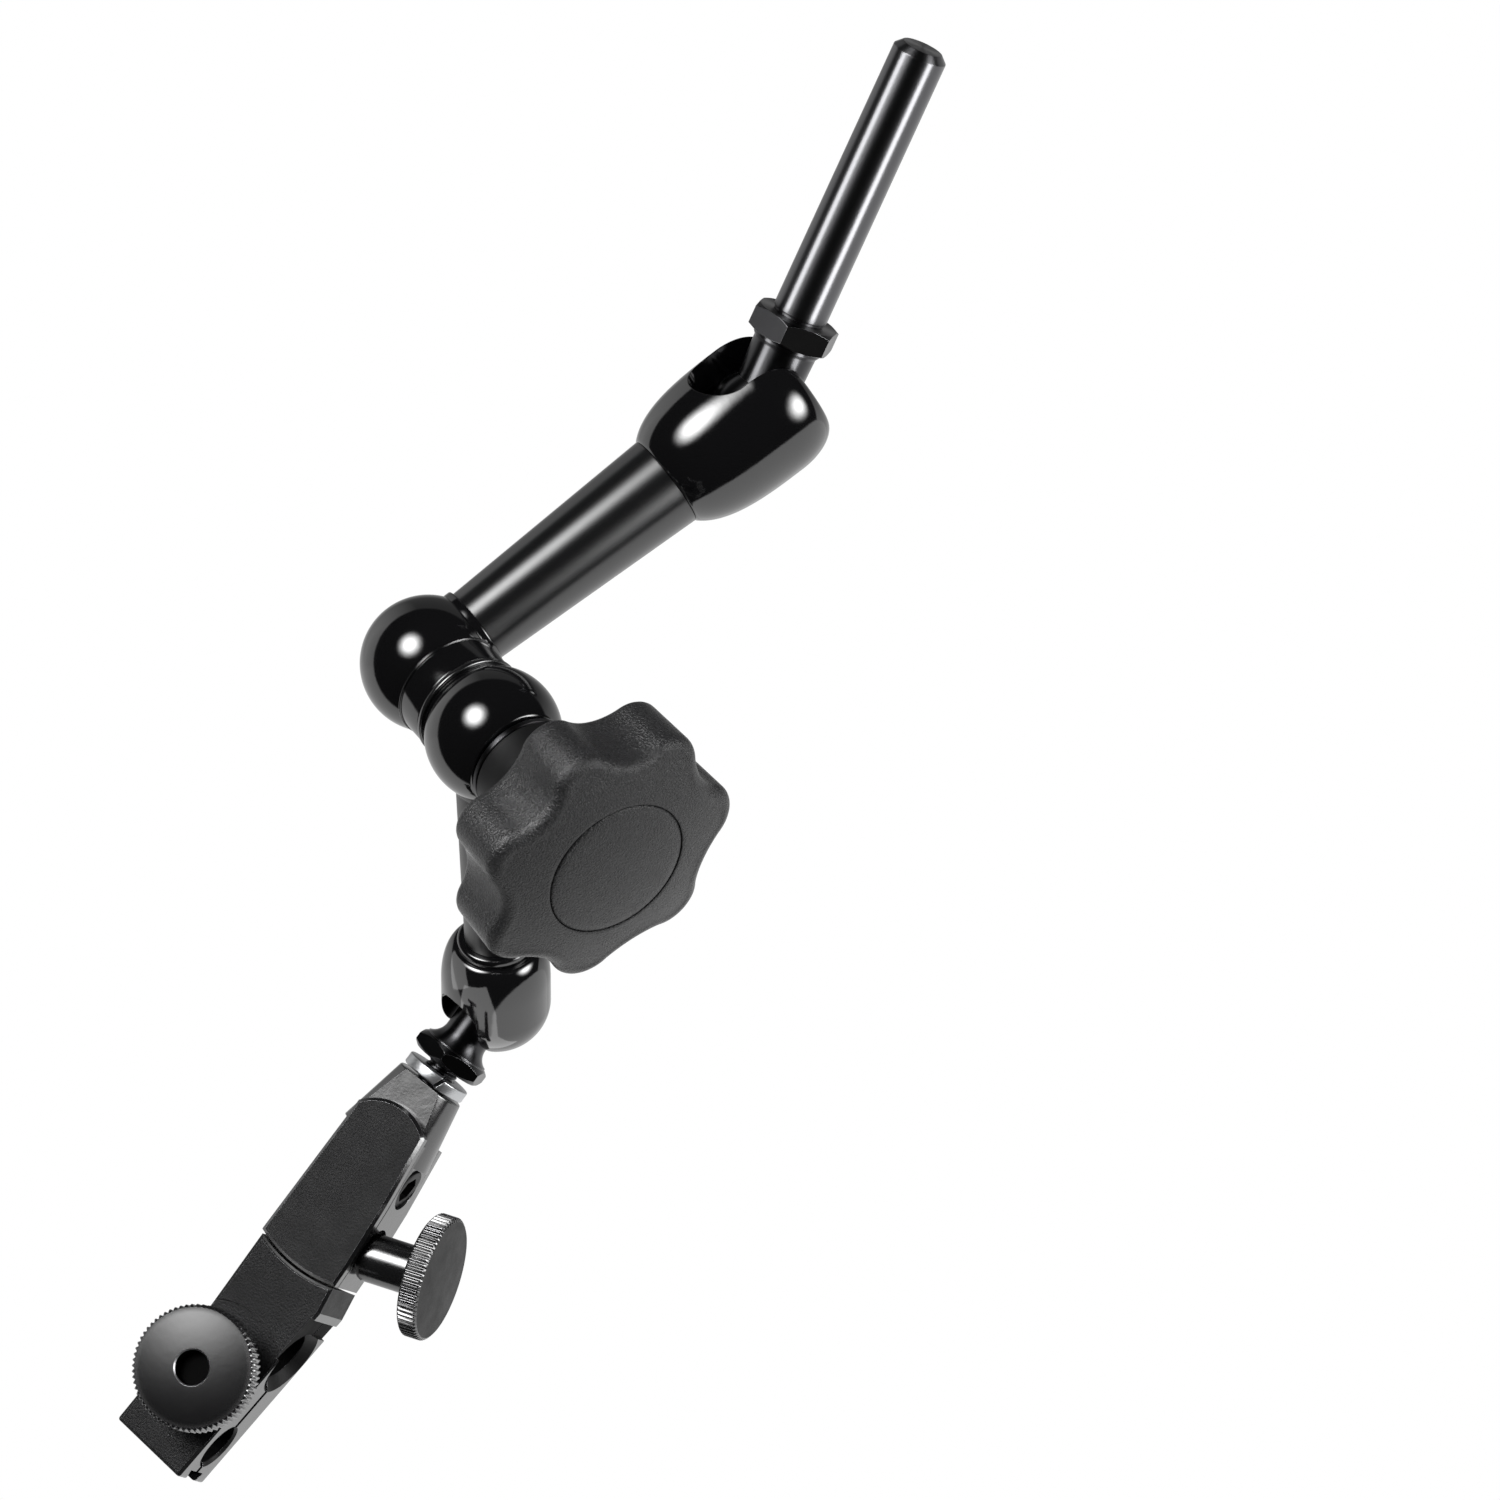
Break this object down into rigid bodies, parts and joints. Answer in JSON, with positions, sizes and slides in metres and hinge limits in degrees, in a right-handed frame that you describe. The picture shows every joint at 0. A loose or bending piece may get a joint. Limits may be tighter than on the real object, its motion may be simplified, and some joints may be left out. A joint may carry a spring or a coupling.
{
  "type": "articulated indicator holder",
  "caption": "Articulated indicator holder: plain shank, two ball joints and a central elbow locked by one star knob, with a fine adjuster and a clamp for a dial gauge.",
  "frame": {"origin": "on the mounting shank's axis, in the plane of the hex collar's shoulder, where a holder's face would stop", "axes": "+Z out along the shank, towards its free end; the large ball's slot lies in the XZ plane, so the upper tilt turns about +Y; the upper arm leaves towards -X and -Z"},
  "size_m": [0.0659, 0.0737, 0.2747],
  "materials": {
    "lacquered_steel": "gloss black lacquer over turned steel",
    "satin_black_steel": "satin black, drawn tube",
    "knob_plastic": "fine grained moulded plastic",
    "zinc_washer": "bright zinc plate",
    "plain_steel": "ground steel",
    "bronze": "turned",
    "black_oxide": "satin black oxide with bright worn edges",
    "blasted_black": "bead blasted black"
  },
  "bodies": {
    "shank": {"mounting_shank": "lacquered_steel"},
    "upper_stud": {"upper_ball_stud": "lacquered_steel"},
    "upper_arm": {"upper_socket": "lacquered_steel", "upper_tube": "satin_black_steel", "upper_knuckle": "lacquered_steel", "elbow_bush": "bronze", "release_springs": "plain_steel"},
    "upper_rod": {"upper_push_rod": "plain_steel", "upper_ball_seat": "bronze"},
    "tie": {"tie_bolt": "plain_steel", "upper_wedge": "plain_steel", "bolt_stop_ring": "plain_steel"},
    "lower_arm": {"lower_knuckle": "lacquered_steel", "lower_tube": "lacquered_steel", "lower_socket": "lacquered_steel", "socket_collar": "lacquered_steel", "friction_ring": "plain_steel"},
    "lower_rod": {"lower_push_rod": "plain_steel", "lower_ball_seat": "bronze"},
    "knob_carrier": {"thrust_washer": "plain_steel", "lower_wedge": "plain_steel"},
    "knob": {"star_knob": "knob_plastic", "knob_insert": "bronze", "knob_cap": "knob_plastic"},
    "lower_stud": {"lower_ball_stud": "lacquered_steel"},
    "adjuster": {"lock_washer": "zinc_washer", "adjuster_body": "black_oxide", "adjuster_cover": "blasted_black", "pivot_pin": "plain_steel", "spring_plug": "plain_steel", "return_spring": "plain_steel"},
    "fine_carrier": {"thrust_tip": "zinc_washer"},
    "fine_knob": {"fine_screw": "black_oxide"},
    "gauge_clamp": {"clamp_block": "blasted_black"},
    "clamp_carrier": {"clamp_washer": "black_oxide"},
    "clamp_knob": {"clamp_screw": "black_oxide"}
  },
  "joints": [
    {"name": "shank_spin", "type": "hinge", "parent": "shank", "child": "upper_stud", "pos_m": [0, 0, -0.0184], "axis": [0, 0, 1], "continuous": true},
    {"name": "upper_tilt", "type": "hinge", "parent": "upper_stud", "child": "upper_arm", "pos_m": [0, 0, -0.0184], "axis": [0, 1, 0], "range_deg": [-34, 54]},
    {"name": "elbow", "type": "hinge", "parent": "upper_arm", "child": "lower_arm", "pos_m": [-0.03881, 0, -0.07594], "axis": [0.2243, -0.9627, -0.1513], "range_deg": [-100, 60]},
    {"name": "tie_travel", "type": "slide", "parent": "upper_arm", "child": "tie", "axis": [-0.2243, 0.9627, 0.1513], "range_m": [0, 0.0004208]},
    {"name": "upper_rod_travel", "type": "slide", "parent": "upper_arm", "child": "upper_rod", "axis": [-0.5592, 0, -0.829], "range_m": [0, 0.000243]},
    {"name": "lower_rod_travel", "type": "slide", "parent": "lower_arm", "child": "lower_rod", "axis": [-0.5447, -0.2526, 0.7997], "range_m": [0, 0.000243]},
    {"name": "knob_travel", "type": "slide", "parent": "lower_arm", "child": "knob_carrier", "axis": [0.2243, -0.9627, -0.1513], "range_m": [0, 0.0004208]},
    {"name": "knob_turn", "type": "hinge", "parent": "knob_carrier", "child": "knob", "pos_m": [-0.03881, 0, -0.07594], "axis": [0.2243, -0.9627, -0.1513], "range_deg": [0, 240]},
    {"name": "lower_tilt", "type": "hinge", "parent": "lower_arm", "child": "lower_stud", "pos_m": [-0.00101, -0.00445, -0.12775], "axis": [-0.3103, 0.9466, 0.0877], "range_deg": [-50, 38]},
    {"name": "clamp_spin", "type": "hinge", "parent": "lower_stud", "child": "adjuster", "pos_m": [-0.00101, -0.00445, -0.12775], "axis": [-0.2467, 0.0089, -0.969], "continuous": true},
    {"name": "fine_travel", "type": "slide", "parent": "adjuster", "child": "fine_carrier", "axis": [-0.6409, 0.7455, -0.1829], "range_m": [-0.000252, 0.000252]},
    {"name": "fine_turn", "type": "hinge", "parent": "fine_carrier", "child": "fine_knob", "pos_m": [-0.00749, -0.01177, -0.1755], "axis": [-0.6409, 0.7455, -0.1829], "range_deg": [-180, 180]},
    {"name": "gauge_tilt", "type": "hinge", "parent": "adjuster", "child": "gauge_clamp", "pos_m": [-0.01059, -0.00545, -0.1697], "axis": [0.767, 0.6129, -0.1897], "range_deg": [-2.02, 2.02]},
    {"name": "clamp_travel", "type": "slide", "parent": "gauge_clamp", "child": "clamp_carrier", "axis": [-0.767, -0.6129, 0.1897], "range_m": [0, 0.00121]},
    {"name": "clamp_turn", "type": "hinge", "parent": "clamp_carrier", "child": "clamp_knob", "pos_m": [-0.02496, -0.0093, -0.20335], "axis": [-0.767, -0.6129, 0.1897], "range_deg": [0, 540]}
  ],
  "couplings": [
    {"joint": "tie_travel", "follows": "knob_turn", "m_per_rad": 0.000099472},
    {"joint": "knob_travel", "follows": "knob_turn", "m_per_rad": 0.000099472},
    {"joint": "upper_rod_travel", "follows": "knob_turn", "m_per_rad": 0.00005743},
    {"joint": "lower_rod_travel", "follows": "knob_turn", "m_per_rad": 0.00005743},
    {"joint": "fine_travel", "follows": "fine_turn", "m_per_rad": 0.000079577},
    {"joint": "gauge_tilt", "follows": "fine_turn", "ratio": 0.011112},
    {"joint": "clamp_travel", "follows": "clamp_turn", "m_per_rad": 0.00012732}
  ]
}
